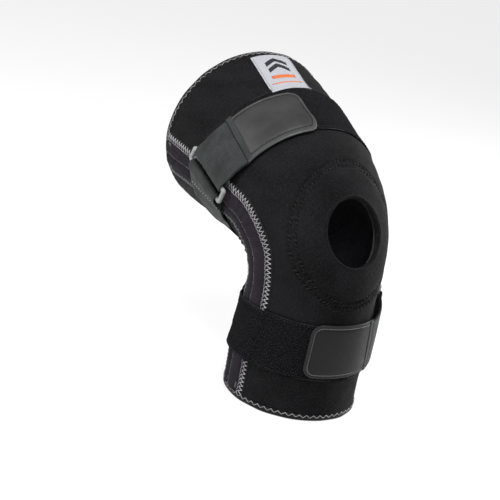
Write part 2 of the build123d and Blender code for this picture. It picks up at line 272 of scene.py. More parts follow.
def shell(name, top, bottom, uv, outer, lining=None, keep=None, zone=None):
    """Closed sheet between two grids of points that share their border.

    keep says which grid cells are there; the edge of a hole in them is closed too. zone
    says which cells of the top have the lining's material, as the whole bottom has."""
    rows, columns = top.shape[:2]
    count = rows * columns
    upper = np.arange(count).reshape(rows, columns)
    lower = upper + count
    points = np.concatenate([top.reshape(-1, 3), bottom.reshape(-1, 3)])
    for border in (np.s_[0, :], np.s_[-1, :], np.s_[:, 0], np.s_[:, -1]):
        lower[border] = upper[border]
    points[upper[0, :]] = (top[0] + bottom[0]) / 2
    points[upper[-1, :]] = (top[-1] + bottom[-1]) / 2
    points[upper[:, 0]] = (top[:, 0] + bottom[:, 0]) / 2
    points[upper[:, -1]] = (top[:, -1] + bottom[:, -1]) / 2
    keep = np.ones((rows - 1, columns - 1), bool) if keep is None else keep
    above = quads(upper)[keep.ravel()]
    below = quads(lower)[keep.ravel()][:, ::-1]
    walls = []
    for first, second, shift in ((keep[:-1], keep[1:], 0), (keep[:, :-1], keep[:, 1:], 1)):
        for r, c in zip(*np.nonzero(first != second)):
            a, b = ((r + 1, c), (r + 1, c + 1)) if shift == 0 else ((r + 1, c + 1), (r, c + 1))
            if not first[r, c]:
                a, b = b, a
            walls.append((upper[a], lower[a], lower[b], upper[b]))
    faces = np.concatenate([above, below] + ([np.array(walls)] if walls else []))
    inside = np.zeros(len(faces), bool)
    inside[len(above):len(above) + len(below)] = lining is not None
    if zone is not None:
        inside[:len(above)] = zone[keep]
    used, faces = np.unique(faces, return_inverse=True)
    uvs = np.concatenate([uv.reshape(-1, 2)] * 2)
    materials = [outer] + ([lining] if lining else [])
    return make(name, points[used], faces.reshape(-1, 4), uvs[used], materials, inside)


def tubes(name, paths, radius, material):
    """Round threads along paths, an array of shape (threads, points, 3)."""
    sides = 6
    count, length = paths.shape[:2]
    run = np.gradient(paths, axis=1)
    run /= np.linalg.norm(run, axis=2, keepdims=True)
    helper = np.where(np.abs(run[..., 2:3]) < 0.8, [0.0, 0.0, 1.0], [1.0, 0.0, 0.0])
    first = np.cross(run, helper)
    first /= np.linalg.norm(first, axis=2, keepdims=True)
    second = np.cross(run, first)
    turn = 2 * math.pi * np.arange(sides) / sides
    ring = (np.cos(turn)[:, None] * first[:, :, None] + np.sin(turn)[:, None] * second[:, :, None])
    points = paths[:, :, None] + radius * ring
    index = np.arange(count * length * sides).reshape(count, length, sides)
    index = np.concatenate([index, index[:, :, :1]], axis=2)
    faces = np.concatenate([quads(index[i]) for i in range(count)])
    along = np.linspace(0, length * 0.8, length)
    uv = np.stack(np.broadcast_arrays(along[None, :, None], turn[None, None, :]), axis=-1)
    uv = np.broadcast_to(uv, (count, length, sides, 2)).reshape(-1, 2)
    return make(name, points.reshape(-1, 3), faces, uv, [material])


def walk(points, spacing):
    """Points at even spacing along a fine path, as fractional positions in it."""
    lengths = np.linalg.norm(np.diff(points, axis=0), axis=1)
    reached = np.concatenate([[0], np.cumsum(lengths)])
    count = max(2, int(round(reached[-1] / spacing)))
    return np.interp(np.linspace(0, reached[-1], count + 1), reached, np.arange(len(points)))


def stitches(name, points, normals, spacing, width, material, radius=0.28, kind="zigzag"):
    """Sewn thread along a path on a surface. Points are metres; other sizes millimetres."""
    at = walk(points, spacing / 1000)
    grid = np.arange(len(points))
    line = np.stack([np.interp(at, grid, points[:, k]) for k in range(3)], axis=1)
    up = np.stack([np.interp(at, grid, normals[:, k]) for k in range(3)], axis=1)
    up /= np.linalg.norm(up, axis=1, keepdims=True)
    run = np.gradient(line, axis=0)
    run /= np.linalg.norm(run, axis=1, keepdims=True)
    side = np.cross(up, run)
    if kind == "zigzag":
        offset = np.where(np.arange(len(at)) % 2, 0.5, -0.5)[:, None] * width / 1000
        knots = line + side * offset
        start, end = knots[:-1], knots[1:]
    elif kind == "slanted":
        start = line[:-1] - side[:-1] * width / 2000
        end = start + 0.55 * (line[1:] - line[:-1]) + side[:-1] * width / 1000
    else:
        start = line[:-1] + 0.12 * (line[1:] - line[:-1])
        end = line[:-1] + 0.8 * (line[1:] - line[:-1])
    lift = up[:-1]
    share = np.array([0.0, 0.12, 0.5, 0.88, 1.0])
    rise = np.array([-0.35, 0.1, 0.25, 0.1, -0.35]) * radius / 0.28 / 1000
    paths = start[:, None] + share[None, :, None] * (end - start)[:, None]
    paths = paths + rise[None, :, None] * lift[:, None]
    return tubes(name, paths, radius / 1000, material)


def on_sleeve(s, theta, d):
    """A path's points and outward normals on the worn sleeve."""
    points = place(s, theta, d)
    return points, bare(s, theta, 1.0) - bare(s, theta, 0.0)


# ---- materials ------------------------------------------------------------------------
def colour(red, green, blue):
    """Screen colour 0 to 255 as the linear colour that a shader takes."""
    part = np.array([red, green, blue]) / 255
    linear = np.where(part <= 0.04045, part / 12.92, ((part + 0.055) / 1.055) ** 2.4)
    return (*linear.tolist(), 1.0)


class Look:
    """A node material whose patterns are in millimetres of the piece's UV map."""

    def __init__(self, name, base, rough, sheen=0.0, coat=0.0, specular=0.5, metallic=0.0):
        self.material = bpy.data.materials.new(name)
        self.material.use_nodes = True
        self.tree = self.material.node_tree
        self.shader = self.tree.nodes["Principled BSDF"]
        self.base = colour(*base)
        self.shader.inputs["Base Color"].default_value = self.base
        self.shader.inputs["Roughness"].default_value = rough
        self.shader.inputs["Specular IOR Level"].default_value = specular
        self.shader.inputs["Metallic"].default_value = metallic
        self.shader.inputs["Sheen Weight"].default_value = sheen
        self.shader.inputs["Sheen Roughness"].default_value = 0.45
        self.shader.inputs["Coat Weight"].default_value = coat
        self.shader.inputs["Coat Roughness"].default_value = 0.35
        self.uv = self.node("ShaderNodeTexCoord").outputs["UV"]
        self.normal = None
        self.tint = None

    def node(self, kind, **settings):
        made = self.tree.nodes.new(kind)
        for key, value in settings.items():
            setattr(made, key, value)
        return made

    def link(self, source, target):
        self.tree.links.new(source, target)

    def math(self, operation, first, second=None):
        made = self.node("ShaderNodeMath", operation=operation)
        for socket, value in zip(made.inputs, (first, second)):
            if value is None:
                continue
            if isinstance(value, (int, float)):
                socket.default_value = value
            else:
                self.link(value, socket)
        return made.outputs[0]

    def scaled(self, u_pitch, v_pitch, angle=0.0):
        made = self.node("ShaderNodeMapping")
        made.inputs["Scale"].default_value = (1 / u_pitch, 1 / v_pitch, 1)
        made.inputs["Rotation"].default_value = (0, 0, math.radians(angle))
        self.link(self.uv, made.inputs["Vector"])
        return made.outputs[0]

    def parts(self, u_pitch, v_pitch, angle=0.0):
        made = self.node("ShaderNodeSeparateXYZ")
        self.link(self.scaled(u_pitch, v_pitch, angle), made.inputs[0])
        return made.outputs[0], made.outputs[1]

    def wave(self, value):
        """0 to 1 and back over each whole step of value."""
        turned = self.math("SINE", self.math("MULTIPLY", value, 2 * math.pi))
        return self.math("ADD", self.math("MULTIPLY", turned, 0.5), 0.5)

    def noise(self, size, detail=2.0, rough=0.5):
        made = self.node("ShaderNodeTexNoise", noise_dimensions="2D")
        made.inputs["Scale"].default_value = 1.0
        made.inputs["Detail"].default_value = detail
        made.inputs["Roughness"].default_value = rough
        self.link(self.scaled(size, size), made.inputs["Vector"])
        return made.outputs[0]

    def cells(self, pitch, angle=0.0, feature="F1", randomness=1.0):
        made = self.node("ShaderNodeTexVoronoi", feature=feature, voronoi_dimensions="2D")
        made.inputs["Scale"].default_value = 1.0
        made.inputs["Randomness"].default_value = randomness
        self.link(self.scaled(pitch, pitch, angle), made.inputs["Vector"])
        return made.outputs["Distance"]

    def bump(self, height, distance, strength=1.0):
        """Adds relief: height is 0 to 1 of distance millimetres."""
        made = self.node("ShaderNodeBump")
        made.inputs["Strength"].default_value = strength
        made.inputs["Distance"].default_value = distance / 1000
        self.link(height, made.inputs["Height"])
        if self.normal:
            self.link(self.normal, made.inputs["Normal"])
        self.normal = made.outputs[0]
        self.link(self.normal, self.shader.inputs["Normal"])
        return self

    def shade(self, factor, low, high, other=None):
        """Varies the colour: factor runs from low to high from here to other."""
        ramp = self.node("ShaderNodeMapRange")
        ramp.inputs["From Min"].default_value = low
        ramp.inputs["From Max"].default_value = high
        self.link(factor, ramp.inputs["Value"])
        mix = self.node("ShaderNodeMix", data_type="RGBA")
        self.link(ramp.outputs[0], mix.inputs["Factor"])
        if self.tint:
            self.link(self.tint, mix.inputs["A"])
        else:
            mix.inputs["A"].default_value = self.base
        mix.inputs["B"].default_value = colour(*other)
        self.tint = mix.outputs["Result"]
        self.link(self.tint, self.shader.inputs["Base Color"])
        return self

    def roughen(self, factor, low, high):
        ramp = self.node("ShaderNodeMapRange")
        ramp.inputs["To Min"].default_value = low
        ramp.inputs["To Max"].default_value = high
        self.link(factor, ramp.inputs["Value"])
        self.link(ramp.outputs[0], self.shader.inputs["Roughness"])
        return self


def jersey(name, base, dark, light, sheen, pitch=0.62, relief=0.10, perforated=False):
    """Knitted face fabric, laminated to foam."""
    look = Look(name, base, 0.78, sheen=sheen, specular=0.06)
    u, v = look.parts(pitch, pitch * 0.8)
    chain = look.wave(look.math("ADD", u, look.math("MULTIPLY", look.wave(v), 0.35)))
    rows = look.wave(v)
    knit = look.math("MULTIPLY", chain, rows)
    look.shade(knit, 0.0, 1.1, light)
    look.shade(look.noise(38, 3), 0.35, 0.85, dark)
    look.shade(look.noise(1.5, 2), 0.55, 0.85, light)
    look.roughen(look.noise(9, 3), 0.66, 0.9)
    if perforated:
        dots = look.cells(4.5, 45, randomness=0.0)
        hole = look.math("LESS_THAN", dots, 0.13)
        look.shade(hole, 0.0, 1.6, (6, 6, 7))
        look.bump(look.math("MULTIPLY", look.math("MINIMUM", dots, 0.2), 5.0), 0.4)
    look.bump(knit, relief)
    look.bump(look.noise(1.3, 2), relief * 2.0, 0.8)
    look.bump(look.noise(14, 2), 0.5, 0.35)
    return look.material


def webbing_look(name, base, dark, light, sheen=0.25):
    """Woven webbing with ribs along its length and fine picks across."""
    look = Look(name, base, 0.6, sheen=sheen, specular=0.2)
    u, v = look.parts(1.5, 1.05)
    ribs = look.wave(v)
    offset = look.math("MULTIPLY", look.math("FLOOR", v), 0.5)
    picks = look.wave(look.math("ADD", u, offset))
    weave = look.math("MULTIPLY", look.math("POWER", ribs, 0.6), look.math("POWER", picks, 0.5))
    look.shade(weave, 0.75, 0.0, dark)
    look.shade(look.noise(0.9, 3), 0.6, 0.95, light)
    look.shade(look.noise(24, 2), 0.4, 0.85, dark)
    look.bump(weave, 0.28)
    look.bump(look.noise(0.35, 2), 0.06, 0.6)
    look.roughen(look.noise(6, 2), 0.5, 0.75)
    return look.material


def pile_look():
    """Loop pile: a dense fuzz whose loop tops and bright specks are lightened as painted
    highlights.
    """
    look = Look("band_pile", (4, 4, 5), 0.95, sheen=0.01, specular=0.03)
    loops = look.cells(0.75)
    # Lighter loop tops and bright specks: painted highlights.
    look.shade(loops, 0.6, 0.1, (16, 16, 18))
    look.shade(look.noise(0.9, 3, 0.7), 0.52, 0.75, (66, 65, 69))
    look.bump(look.math("SUBTRACT", 1.0, loops), 0.5)
    look.bump(look.noise(0.4, 3, 0.7), 0.35)
    look.bump(look.noise(5, 3), 0.3, 0.4)
    return look.material


def vinyl_look(name, base, light, specular):
    """Moulded tab skin: fine leather grain with a satin gloss."""
    look = Look(name, base, 0.42, coat=0.04, specular=specular)
    grain = look.cells(0.8, feature="SMOOTH_F1")
    look.shade(look.noise(20, 3), 0.35, 0.8, light)
    look.shade(grain, 0.55, 0.9, light)
    look.roughen(look.noise(4, 4), 0.34, 0.56)
    look.bump(look.math("SUBTRACT", 1.0, grain), 0.07)
    look.bump(look.noise(0.3, 3), 0.03, 0.7)
    look.bump(look.noise(18, 2), 0.5, 0.3)
    return look.material


def thread_look(name, base, dark):
    look = Look(name, base, 0.6, sheen=0.05, specular=0.25)
    u, v = look.parts(0.5, 6.283)
    twist = look.wave(look.math("ADD", u, v))
    look.shade(twist, 0.8, 0.0, dark)
    look.bump(twist, 0.05)
    return look.material


def plastic_look():
    look = Look("ring_moulding", (142, 144, 143), 0.42, specular=0.5)
    look.uv = look.node("ShaderNodeTexCoord").outputs["Object"]
    look.shade(look.noise(0.02, 3), 0.4, 0.8, (134, 136, 136))
    look.roughen(look.noise(0.004, 3), 0.36, 0.52)
    look.bump(look.noise(0.0006, 2), 0.02, 0.6)
    return look.material


def label_look():
    look = Look("label_cloth", (178, 179, 184), 0.6, sheen=0.05, specular=0.2)
    u, v = look.parts(0.7, 0.45)
    weave = look.math("MULTIPLY", look.wave(u), look.wave(v))
    look.shade(weave, 0.6, 0.0, (150, 152, 158))
    look.shade(look.noise(12, 3), 0.4, 0.9, (160, 161, 167))
    look.bump(weave, 0.08)
    return look.material


def print_look(name, base, dark):
    look = Look(name, base, 0.55, specular=0.35)
    u, v = look.parts(0.6, 0.5)
    weave = look.math("MULTIPLY", look.wave(u), look.wave(v))
    look.shade(weave, 0.6, 0.0, dark)
    look.bump(weave, 0.06)
    return look.material


def hook_look():
    look = Look("hook_moulding", (30, 30, 32), 0.55, specular=0.5)
    hooks = look.cells(0.9, randomness=0.15)
    look.shade(hooks, 0.5, 0.0, (60, 60, 63))
    look.bump(look.math("SUBTRACT", 1.0, hooks), 0.4)
    return look.material


def foam_look():
    look = Look("pad_cover", (34, 33, 36), 0.9, sheen=0.3, specular=0.2)
    look.shade(look.cells(1.1), 0.6, 0.0, (52, 51, 55))
    look.shade(look.noise(11, 3), 0.4, 0.8, (24, 24, 26))
    look.bump(look.cells(1.1), 0.2)
    look.bump(look.noise(3, 3), 0.3, 0.5)
    return look.material


def steel_look():
    look = Look("stay_wire", (150, 152, 156), 0.3, specular=0.5, metallic=1.0)
    look.shade(look.noise(1.2, 3), 0.4, 0.9, (104, 106, 110))
    look.bump(look.noise(0.3, 2), 0.02)
    return look.material


def cap_look():
    look = Look("cap_moulding", (46, 46, 48), 0.45, specular=0.5)
    look.uv = look.node("ShaderNodeTexCoord").outputs["Object"]
    look.shade(look.noise(0.003, 3), 0.4, 0.8, (66, 66, 69))
    look.bump(look.noise(0.0008, 2), 0.03)
    return look.material


FACE = jersey("front_jersey", (14, 14, 15), (7, 7, 8), (40, 39, 42), 0.02, perforated=True)
KNIT = jersey(
    "back_jersey", (21, 19, 23), (12, 11, 14), (42, 39, 46), 0.03, pitch=0.8, relief=0.16
)
STRIP = jersey(
    "strip_jersey", (27, 23, 29), (17, 14, 19), (52, 45, 57), 0.04, pitch=0.7, relief=0.16
)
LINING = jersey(
    "lining_loop", (50, 48, 54), (36, 34, 39), (80, 77, 86), 0.06, pitch=1.0, relief=0.28
)
HEM = webbing_look("hem_weave", (15, 15, 16), (8, 8, 9), (38, 38, 41), 0.04)
GREY_WEB = webbing_look("webbing_weave", (58, 62, 62), (26, 28, 28), (104, 107, 107), 0.03)
PILE = pile_look()
SELVAGE = webbing_look("selvage_weave", (52, 52, 56), (30, 30, 33), (84, 84, 88), 0.05)
UPPER_VINYL = vinyl_look("upper_tab_skin", (42, 42, 42), (53, 53, 53), 0.3)
# The lower tab's vinyl is the upper tab's, darkened as painted shade.
LOWER_VINYL_PAINTED_SHADE = vinyl_look("lower_tab_skin_painted_shade", (5, 5, 6), (9, 10, 10), 0.24)
WHITE_THREAD = thread_look("seam_thread", (196, 194, 197), (128, 126, 130))
DARK_THREAD = thread_look("quilt_thread", (9, 9, 10), (4, 4, 4))
GREY_THREAD = thread_look("strap_thread", (146, 145, 147), (92, 92, 94))
HEM_THREAD = thread_look("hem_thread", (188, 186, 189), (116, 114, 118))
TAB_THREAD = thread_look("tab_thread", (12, 12, 12), (6, 6, 6))
# The lower tab's thread is the upper tab's near-black thread, lightened as a painted highlight on
# the dashes.
THREAD_PAINTED_HIGHLIGHT = thread_look("tab_thread_painted_highlight", (128, 128, 130), (62, 62, 63))
UPPER_RIM = vinyl_look("upper_tab_rim", (52, 53, 53), (66, 67, 67), 0.3)
# The lower tab's rim is the upper tab's, darkened as painted shade.
LOWER_RIM_PAINTED_SHADE = vinyl_look("lower_tab_rim_painted_shade", (22, 23, 24), (30, 31, 32), 0.25)
RING = plastic_look()
LABEL = label_look()
INK = print_look("label_ink", (44, 46, 52), (28, 30, 34))
ORANGE = print_look("label_orange", (224, 118, 62), (184, 88, 42))
HOOK = hook_look()
FOAM = foam_look()
STEEL = steel_look()
CAP = cap_look()


def on_knee(piece, slot, *nodes):
    """A piece of the sleeve, left unattached: its transform is baked into its mesh and the CAD
    nodes it replaces are hidden.
    """
    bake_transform(piece)
    if nodes:
        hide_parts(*nodes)
    return piece


def on_body(piece, body, slot, *nodes):
    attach(piece, body)
    if nodes:
        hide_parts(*nodes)
    return piece


# ---- sleeve panels ------------------------------------------------------------------------
def lengthwise(start, end, edge=0.0, spacing=1.5):
    """Places along the leg, closer together through the bend."""
    fine = np.linspace(start, end, 2000)
    middle = (fine[1:] + fine[:-1]) / 2
    density = 1.0 + 0.9 * step(98, 110, middle) * (1 - step(192, 204, middle))
    weight = np.concatenate([[0], np.cumsum(density * np.diff(fine))])
    at = steps_across(weight[-1], spacing, edge)
    return np.interp(at, weight, fine)


def sleeve_panel(name, first, last, outer, lining, hole=False):
    """Foam-backed panel from hem to hem between two seam angles."""
    edge = 1.0
    spacing = 1.1 if hole else 1.5
    s = lengthwise(HEM_WIDTH - 2.0, LENGTH - HEM_WIDTH + 2.0, edge, spacing)
    share = steps_across(1.0, spacing / 215, edge / 215)
    s, share = np.meshgrid(s, share, indexing="ij")
    theta = first(s) + (last(s) - first(s)) * share
    keep = None
    if hole:
        x, y = front_xy(s, theta)
        rim = (OPENING[0] + 1.2, OPENING[1] + 1.2)
        oval = np.hypot(x / rim[0], y / rim[1])
        oval = np.where(np.cos(np.radians(theta)) > 0, oval, 9.0)
        inside = oval < 1.0
        keep = ~(inside[:-1, :-1] | inside[1:, :-1] | inside[:-1, 1:] | inside[1:, 1:])
        touched = np.zeros_like(inside)
        for rows in (np.s_[:-1], np.s_[1:]):
            for columns in (np.s_[:-1], np.s_[1:]):
                touched[rows, columns] |= ~keep
        border = touched & ~inside & (oval < 1.3)
        there_s, there_theta = front_place(x / oval, y / oval)
        s = np.where(border, there_s, s)
        theta = np.where(border, there_theta, theta)
    around, along = round_leg(s, theta)
    middle = -FABRIC / 2
    full = roundness(share * 215, 215, edge)
    half = FABRIC / 2 * full
    top = place(s, theta, middle + half)
    bottom = bare(s, theta, middle - half + 0.4 * skin(s, theta)) / 1000
    uv = np.stack([around, along], axis=-1)
    return shell(name, top, bottom, uv, outer, lining, keep)


def lap(s):
    """Angle by which the two panels stop short of the seam, or pass it."""
    return spread(0.4, s)


front = sleeve_panel(
    "front_panel", lambda s: -seam(s) - lap(s), lambda s: seam(s) + lap(s), FACE, LINING, hole=True
)
on_knee(front, "front_neoprene", "calf_front_panel", "knee_front_panel", "thigh_front_panel")
back = sleeve_panel(
    "back_panel", lambda s: seam(s) + lap(s), lambda s: 360 - seam(s) - lap(s), KNIT, LINING
)
on_knee(back, "back_knit", "calf_back_panel", "knee_back_panel", "thigh_back_panel")

# ---- rims ---------------------------------------------------------------------------------
def oval_ring(name, profile_points, half, material, count=240):
    """Closed ring round the kneecap hole: its section is (outwards, height) points."""
    turn = np.linspace(0, 2 * math.pi, count, endpoint=False)
    out = profile_points[:, 0][:, None]
    x = (half[0] + out) * np.sin(turn)
    y = (half[1] + out) * np.cos(turn)
    s, theta = front_place(x, y)
    points = place(s, theta, profile_points[:, 1][:, None] + 0 * turn)
    section, around = points.shape[:2]
    index = np.arange(section * around).reshape(section, around)
    index = np.concatenate([index, index[:1]], axis=0)
    index = np.concatenate([index, index[:, :1]], axis=1)
    lengths = 2 * math.pi * (half[0] + half[1]) / 2 * turn / (2 * math.pi)
    across = 12.0 * np.linspace(0, 1, section)[:, None]
    uv = np.stack(np.broadcast_arrays(lengths[None, :], across), -1)
    return make(name, points.reshape(-1, 3), quads(index), uv.reshape(-1, 2), [material])


def rounded_section(width, low, high, corner, count=24):
    """Points round a rounded box from 0 to width and from low to high."""
    turn = np.linspace(0, 2 * math.pi, count, endpoint=False)
    x = np.sign(np.cos(turn)) * (width / 2 - corner) + corner * np.cos(turn)
    y = np.sign(np.sin(turn)) * ((high - low) / 2 - corner) + corner * np.sin(turn)
    return np.stack([x + width / 2, y + (high + low) / 2], axis=1)


rim = oval_ring("opening_edge", rounded_section(3.0, -4.3, 0.35, 1.35), OPENING, FACE)
on_knee(rim, "front_neoprene", "opening_binding")


def hem_ring(name, start, radius):
    """Tape folded over a hem."""
    turn = np.linspace(0, 2 * math.pi, 360, endpoint=False)
    section = rounded_section(HEM_WIDTH, -FABRIC, HEM_RISE, 1.5)
    s = start + section[:, 0][:, None] + 0 * turn
    theta = np.degrees(turn)[None, :] + 0 * s
    ripple = 0.16 * waves(radius * turn, 0 * turn, 21, 7)
    points = bare(s, theta, section[:, 1][:, None] + ripple * (section[:, 1] > -2)[:, None]) / 1000
    index = np.arange(s.size).reshape(s.shape)
    index = np.concatenate([index, index[:1]], axis=0)
    index = np.concatenate([index, index[:, :1]], axis=1)
    across = np.cumsum(np.linalg.norm(np.diff(section, axis=0, prepend=section[:1]), axis=1))
    uv = np.stack(np.broadcast_arrays(radius * turn[None, :], across[:, None]), axis=-1)
    return make(name, points.reshape(-1, 3), quads(index), uv.reshape(-1, 2), [HEM])


def hem_stitches(name, s):
    theta = np.linspace(0, 360, 1200)
    points = bare(s, theta, HEM_RISE + 0.12) / 1000
    normals = bare(s, theta, 1) - bare(s, theta, 0)
    return stitches(name, points, normals, 3.1, 2.5, HEM_THREAD, 0.22)


calf_hem = on_body(hem_ring("calf_hem", 0.0, 57.5), "calf", "hem_tape", "calf_hem_binding")
thigh_hem = on_body(
    hem_ring("thigh_hem", LENGTH - HEM_WIDTH, 79.0), "thigh", "hem_tape", "thigh_hem_binding"
)
on_body(hem_stitches("calf_hem_thread", HEM_WIDTH - 1.2), "calf", "hem_tape")
on_body(hem_stitches("thigh_hem_thread", LENGTH - HEM_WIDTH + 1.0), "thigh", "hem_tape")

# ---- side strips and their stays --------------------------------------------------------
FLAT_EDGE = 3.4


def strip_height(s, behind, along):
    """Top of a stay strip: two padded pockets with a sewn line between."""
    line = table(STAY_LINE, s)
    rear = STRIP_WIDTH - FLAT_EDGE
    first = np.clip((behind - FLAT_EDGE) / (line - FLAT_EDGE), 0, 1)
    second = np.clip((behind - line) / (rear - line), 0, 1)
    share = np.where(behind < line, first, second)
    puff = np.sin(np.pi * share) ** 0.55
    pucker = 1 + 0.10 * np.sin(2 * np.pi * along / 6.5 + behind / 3.0) * (1 - puff * 0.6)
    uneven = 1 + 0.07 * waves(behind, along, 19, 11)
    return 0.75 + (STRIP_TOP - 0.85) * np.clip(puff * pucker * uneven, 0, 1.05)


def stay_strip(name, side):
    s = lengthwise(HEM_WIDTH + 0.3, LENGTH - HEM_WIDTH - 0.3, 0.5)
    behind = steps_across(STRIP_WIDTH, 0.9, 0.5)
    s, behind = np.meshgrid(s, behind, indexing="ij")
    theta = side * (seam(s) + spread(behind, s))
    around, along = round_leg(s, theta)
    full = roundness(behind, STRIP_WIDTH, 0.5)
    top = place(s, theta, 0.3 + (strip_height(s, behind, along) - 0.3) * full)
    bottom = place(s, theta, 0.02 + 0 * s)
    uv = np.stack([behind, along], axis=-1)
    if side > 0:
        top, bottom, uv = top[:, ::-1], bottom[:, ::-1], uv[:, ::-1]
    return shell(name, top, bottom, uv, STRIP)


def strip_path(side, behind, lift):
    s = np.linspace(HEM_WIDTH + 0.5, LENGTH - HEM_WIDTH - 0.5, 1500)
    distance = behind(s)
    theta = side * (seam(s) + spread(distance, s))
    along = round_leg(s, theta)[1]
    height = strip_height(s, np.clip(distance, 0.5, STRIP_WIDTH - 0.5), along)
    return on_sleeve(s, theta, height + lift)


def spiral_stay(name, side, pocket):
    """Flat spiral of spring wire."""
    s = np.linspace(14.0, 289.0, 1400)
    phase = (s - 14.0) / 1.9 * 2 * math.pi
    theta = side * (seam(s) + spread(pocket + 3.6 * np.sin(phase), s))
    height = 1.1 + 0.32 * np.cos(phase)
    return tubes(name, place(s, theta, height)[None], 0.00032, STEEL)


def along_strip(side, across, height):
    """Path along a side strip, at an even distance across it."""
    return strip_path(side, lambda s: 0 * s + across, height)


for side, word in ((-1, "outer"), (1, "inner")):
    strip = on_knee(stay_strip(f"{word}_strip", side), "back_knit", f"{word}_stay_strip")
    main = stitches(
        f"{word}_seam_thread", *along_strip(side, -0.4, 0.2), 1.9, 4.8, WHITE_THREAD
    )
    on_knee(main, "hem_tape")
    edge = stitches(
        f"{word}_seam_edge_thread", *along_strip(side, 3.3, 0.1), 1.9, 1.3, WHITE_THREAD, 0.22
    )
    on_knee(edge, "hem_tape")
    ridge = tubes(
        f"{word}_seam_ridge", along_strip(side, -3.7, -0.45)[0][None, ::3], 0.00062, HEM
    )
    on_knee(ridge, "hem_tape")
    line = stitches(
        f"{word}_stay_line_thread",
        *strip_path(side, lambda s: table(STAY_LINE, s), 0.22), 2.6, 1.1, GREY_THREAD, 0.22,
    )
    on_knee(line, "hem_tape")
    rear = stitches(
        f"{word}_rear_seam_thread",
        *along_strip(side, STRIP_WIDTH - 0.6, 0.2), 1.9, 4.0, GREY_THREAD,
    )
    on_knee(rear, "hem_tape")
    for pocket, which in ((9.0, "front"), (25.0, "rear")):
        stay = spiral_stay(f"{word}_{which}_spiral", side, pocket)
        on_knee(stay, "stay_steel", f"{word}_{which}_stay")

# ---- kneecap pad --------------------------------------------------------------------------
def kneecap_pad():
    """Crowned oval foam ring behind the front panel."""
    turn = np.linspace(0, 2 * math.pi, 220, endpoint=False)
    inner = (OPENING[0] + 3.3, OPENING[1] + 3.3)
    outer = (PAD[0] - 0.6, PAD[1] - 0.6)
    phase = np.linspace(0, 2 * math.pi, 40, endpoint=False)
    share = (1 - np.cos(phase)) / 2
    crown = np.sign(np.sin(phase)) * np.abs(np.sin(phase)) ** 0.5
    x = (inner[0] + (outer[0] - inner[0]) * share[:, None]) * np.sin(turn)
    y = (inner[1] + (outer[1] - inner[1]) * share[:, None]) * np.cos(turn)
    s, theta = front_place(x, y)
    half = PAD_THICKNESS / 2
    height = -FABRIC - 0.2 - half + (half - 0.1) * crown[:, None] + 0 * turn
    points = bare(s, theta, height + 0.4 * skin(s, theta)) / 1000
    index = np.arange(s.size).reshape(s.shape)
    index = np.concatenate([index, index[:1]], axis=0)
    index = np.concatenate([index, index[:, :1]], axis=1)
    uv = np.stack(np.broadcast_arrays(42.0 * turn[None, :], 40 * share[:, None]), axis=-1)
    return make("kneecap_foam", points.reshape(-1, 3), quads(index), uv.reshape(-1, 2), [FOAM])


pad = on_knee(kneecap_pad(), "pad_foam", "kneecap_pad")

turn = np.linspace(0, 2 * math.pi, 900)
for row, scale in zip(("outer", "inner"), PAD_ROWS):
    s, theta = front_place(PAD[0] * scale * np.sin(turn), PAD[1] * scale * np.cos(turn))
    quilting = stitches(
        f"pad_{row}_thread", *on_sleeve(s, theta, 0.1), 4.3, 2.1, DARK_THREAD, 0.5, "slanted"
    )
    on_knee(quilting, "front_neoprene")

# ---- bands --------------------------------------------------------------------------------
def band(name, low, high, first, last, material, bottom, top, fuzz):
    """A strip of fabric lying round the sleeve, over the stay strips."""
    edge = 0.5
    width = high - low
    length = abs(last - first) * 1.25
    across = steps_across(width, 0.9, edge)
    share = steps_across(length, 0.9, edge)
    across, share = np.meshgrid(across, share, indexing="ij")
    s = low + across
    theta = first + (last - first) * share / length
    around, along = round_leg(s, theta)
    full = roundness(across, width, edge) * roundness(share, length, edge)
    rng = np.random.default_rng(int(low))
    rough = fuzz * rng.normal(0, 1, s.shape).clip(-2, 2)
    ripple = 0.18 * waves(around, along, 27, 13)
    lift = strip_lift(s, theta)
    middle = (bottom + top) / 2
    up = place(s, theta, lift + middle + ((top - bottom) / 2 + rough + ripple) * full)
    down = place(s, theta, lift + middle - (top - bottom) / 2 * full)
    uv = np.stack([around, along], axis=-1)
    return shell(name, up, down, uv, material)


def selvage(name, s, first, last, d):
    theta = np.linspace(first, last, 500)
    path = place(s + 0 * theta, theta, d + strip_lift(s, theta))
    return tubes(name, path[None], 0.00042, SELVAGE)


upper_band = on_knee(
    band("upper_band", 187.5, 237.0, -66, 86, PILE, 0.3, 1.5, 0.10), "loop_pile", "upper_pile_band"
)
lower_band = on_knee(
    band("lower_band", 38.0, 87.0, -150, 42, PILE, 0.3, 1.5, 0.10), "loop_pile", "lower_pile_band"
)
on_knee(selvage("upper_band_low_edge", 187.9, -66, 86, 1.1), "loop_pile")
on_knee(selvage("upper_band_high_edge", 236.6, -66, 86, 1.1), "loop_pile")
on_knee(selvage("lower_band_low_edge", 38.4, -150, 42, 1.1), "loop_pile")
on_knee(selvage("lower_band_high_edge", 86.6, -150, 42, 1.1), "loop_pile")
for name, s, first, last in (
    ("upper_band_low_thread", 189.4, -65, 85), ("upper_band_high_thread", 235.1, -65, 85),
    ("lower_band_low_thread", 39.9, -149, 41), ("lower_band_high_thread", 85.1, -149, 41),
):
    theta = np.linspace(first, last, 900)
    path = on_sleeve(s + 0 * theta, theta, 1.55 + strip_lift(s, theta))
    on_knee(stitches(name, *path, 3.4, 0, DARK_THREAD, 0.24, "dash"), "loop_pile")


# ---- straps ---------------------------------------------------------------------------------
def unit(vector):
    return vector / np.linalg.norm(vector)


